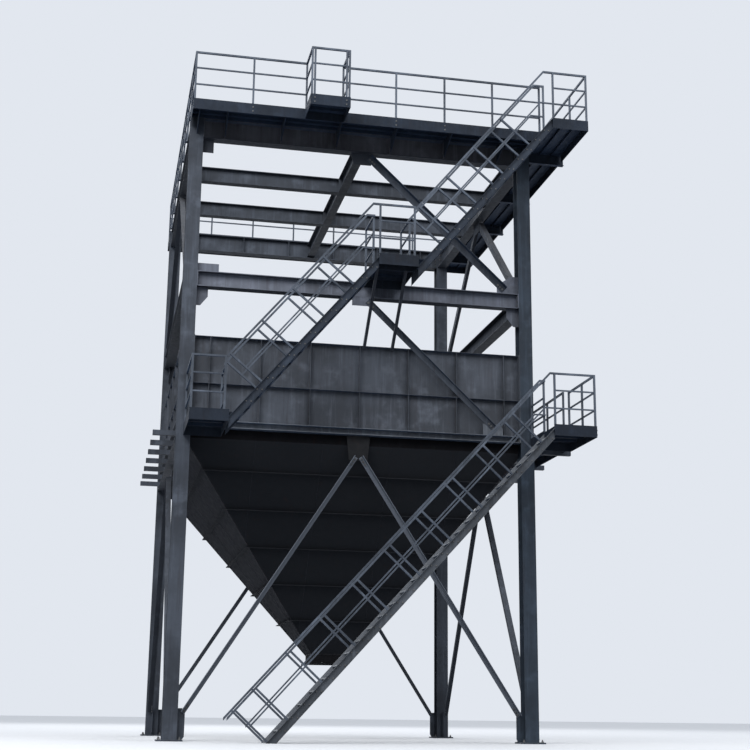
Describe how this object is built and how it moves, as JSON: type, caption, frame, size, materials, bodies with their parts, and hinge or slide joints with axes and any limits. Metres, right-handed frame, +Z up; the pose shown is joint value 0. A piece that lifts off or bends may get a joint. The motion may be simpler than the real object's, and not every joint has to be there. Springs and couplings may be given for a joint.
{
  "type": "wet electrostatic precipitator",
  "caption": "Steel frame of a wet electrostatic precipitator on four columns, with ribbed casing, pyramid hopper, roof beams, walkways, railings and stairs; not finished.",
  "frame": {"origin": "middle of the whole footprint, at the underside of the base plates", "axes": "+Z up, -Y towards the front with the stairs, +X to the right seen from the front"},
  "size_m": [9.18, 10.28, 14.5],
  "materials": {
    "frame_steel": "satin",
    "casing_plate": "satin",
    "hopper_plate": "satin",
    "deck_steel": "satin",
    "rail_steel": "satin"
  },
  "bodies": {
    "root": {"braces_front": "frame_steel", "braces_rear": "frame_steel", "braces_sides": "frame_steel", "brackets_lower": "frame_steel", "casing_wall_front": "casing_plate", "casing_wall_left": "casing_plate", "casing_wall_rear": "casing_plate", "casing_wall_right": "casing_plate", "column_front_left": "frame_steel", "column_front_right": "frame_steel", "column_rear_left": "frame_steel", "column_rear_right": "frame_steel", "deck_balcony": "deck_steel", "deck_brackets": "deck_steel", "deck_front": "deck_steel", "deck_rear": "deck_steel", "deck_right": "deck_steel", "hopper_outlet": "hopper_plate", "hopper_plates_front_rear": "hopper_plate", "hopper_plates_left_right": "hopper_plate", "knee_braces": "frame_steel", "landings": "deck_steel", "railing_balcony": "rail_steel", "railing_front": "rail_steel", "railing_left": "rail_steel", "railing_rear": "rail_steel", "railing_right": "rail_steel", "railings_landings": "rail_steel", "ring_beams_front_rear": "frame_steel", "ring_beams_left_right": "frame_steel", "roof_centre_beams": "frame_steel", "roof_cross_beams": "frame_steel", "roof_girder_front": "frame_steel", "roof_girder_left": "frame_steel", "roof_girder_rear": "frame_steel", "roof_girder_right": "frame_steel", "sills_front_rear": "frame_steel", "sills_left_right": "frame_steel", "stair_lower_railings": "rail_steel", "stair_lower_stringers": "deck_steel", "stair_lower_treads": "deck_steel", "stair_upper_railings": "rail_steel", "stair_upper_stringers": "deck_steel", "stair_upper_treads": "deck_steel", "walkway_lower_right": "deck_steel"}
  },
  "joints": []
}
